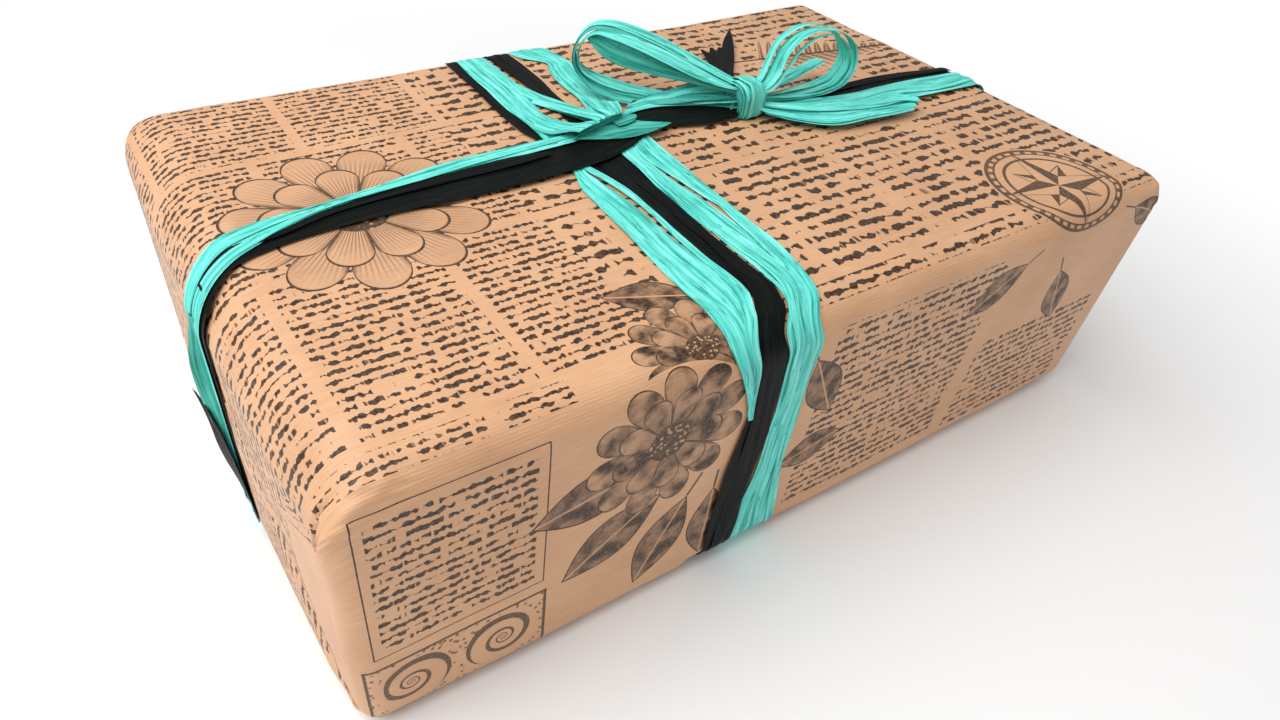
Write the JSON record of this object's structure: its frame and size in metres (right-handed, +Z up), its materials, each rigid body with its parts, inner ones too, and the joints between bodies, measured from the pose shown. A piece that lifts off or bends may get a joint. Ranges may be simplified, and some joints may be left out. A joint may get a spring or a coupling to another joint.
{
  "type": "paper wrapped parcel",
  "caption": "Shoebox-sized gift parcel in printed brown kraft paper, tied both ways with flat teal and black raffia and a bow on top.",
  "frame": {"origin": "middle of the parcel's underside, on the surface it lies on", "axes": "+X along the parcel's length, +Y to its back, +Z up"},
  "size_m": [0.3067, 0.1844, 0.1162],
  "materials": {
    "kraft_paper": "brown kraft paper with a faint machine ribbing, printed in dark brown",
    "teal_raffia": "matt paper raffia with fine lengthwise creases",
    "black_raffia": "satin black paper raffia"
  },
  "bodies": {
    "root": {"wrapped_parcel": "kraft_paper", "teal_cross_left": "teal_raffia", "black_cross": "black_raffia", "teal_cross_right": "teal_raffia", "black_lengthwise": "black_raffia", "teal_lengthwise": "teal_raffia", "teal_bow": "teal_raffia"}
  },
  "joints": []
}
